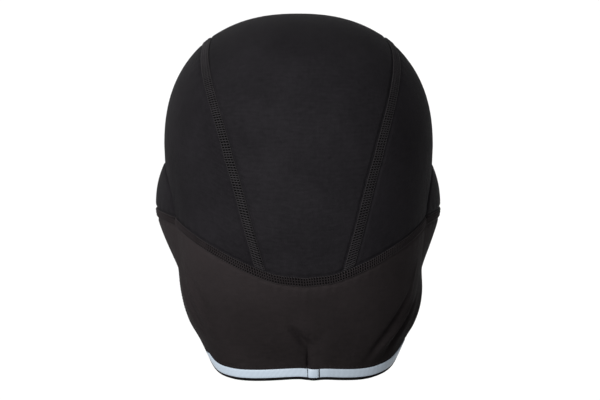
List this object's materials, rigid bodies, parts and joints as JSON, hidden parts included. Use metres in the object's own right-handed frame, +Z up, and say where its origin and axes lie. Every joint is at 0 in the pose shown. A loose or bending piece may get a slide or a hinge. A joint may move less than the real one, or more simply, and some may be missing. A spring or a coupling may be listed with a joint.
{
  "type": "helmet liner cap",
  "caption": "Close stretch skull cap with a tapering centre panel, ear panels, a deep neck band, flat seams and a reflective back hem, in its worn form.",
  "frame": {"origin": "the top of the head, on the inner face of the crown, where the cap rests on its wearer", "axes": "+X to the wearer's right, +Y forward to the forehead, +Z up"},
  "size_m": [0.1695, 0.1937, 0.2072],
  "materials": {
    "black_knit": "fine matt stretch knit with a soft sheen",
    "seam_thread": "textured polyester thread in flat ladder stitches",
    "reflective_tape": "fine glass-bead film, silver blue, half matt"
  },
  "bodies": {
    "root": {"centre_panel": "black_knit", "side_panel_right": "black_knit", "side_panel_left": "black_knit", "ear_panel_right": "black_knit", "ear_panel_left": "black_knit", "neck_band": "black_knit", "hem_fold": "black_knit", "crown_seam_right": "seam_thread", "crown_seam_left": "seam_thread", "band_seam": "seam_thread", "reflective_tape_left": "reflective_tape", "reflective_tape_tuck": "reflective_tape", "reflective_tape_right": "reflective_tape"}
  },
  "joints": []
}
